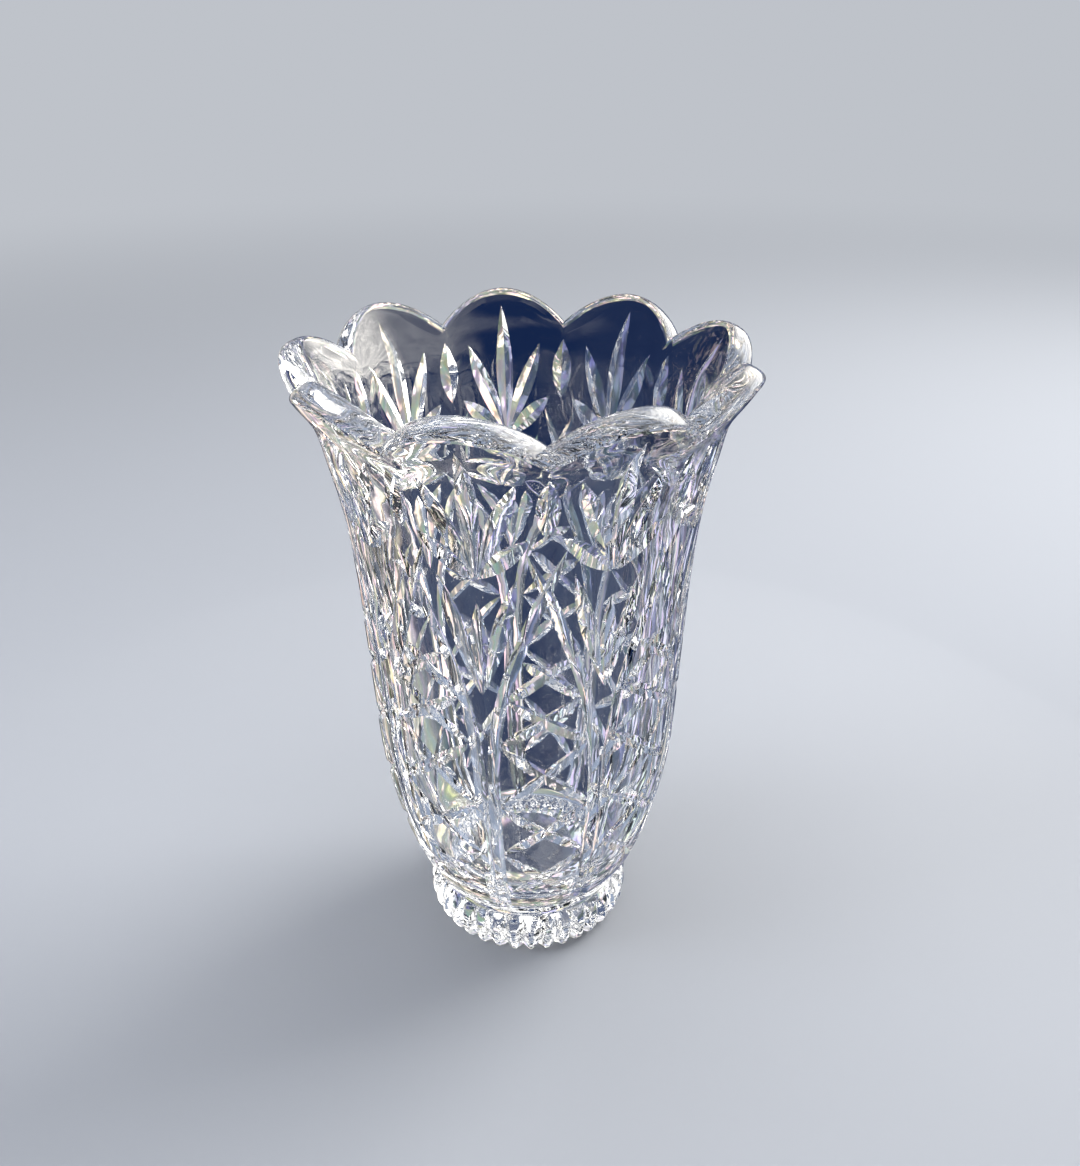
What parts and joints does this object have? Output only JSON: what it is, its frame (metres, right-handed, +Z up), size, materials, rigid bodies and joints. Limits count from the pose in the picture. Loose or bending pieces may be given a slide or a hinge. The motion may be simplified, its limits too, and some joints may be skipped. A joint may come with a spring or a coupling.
{
  "type": "cut crystal vase",
  "caption": "Footed clear glass vase with a flared scalloped rim, thick wall, deep open cavity, fluted foot ring and wheel-cut leaf fans, arches and crosses.",
  "frame": {"origin": "centre of the flat underside of the foot, on the axis of the vase", "axes": "+Z up along the axis of the vase towards the open rim; -Y faces the viewer, through a rim notch and the middle of an arched panel; +X to the right"},
  "size_m": [0.1678, 0.1651, 0.2494],
  "materials": {
    "crystal": "clear polished lead crystal with V-groove wheel cuts"
  },
  "bodies": {
    "root": {"vase_body": "crystal"}
  },
  "joints": []
}
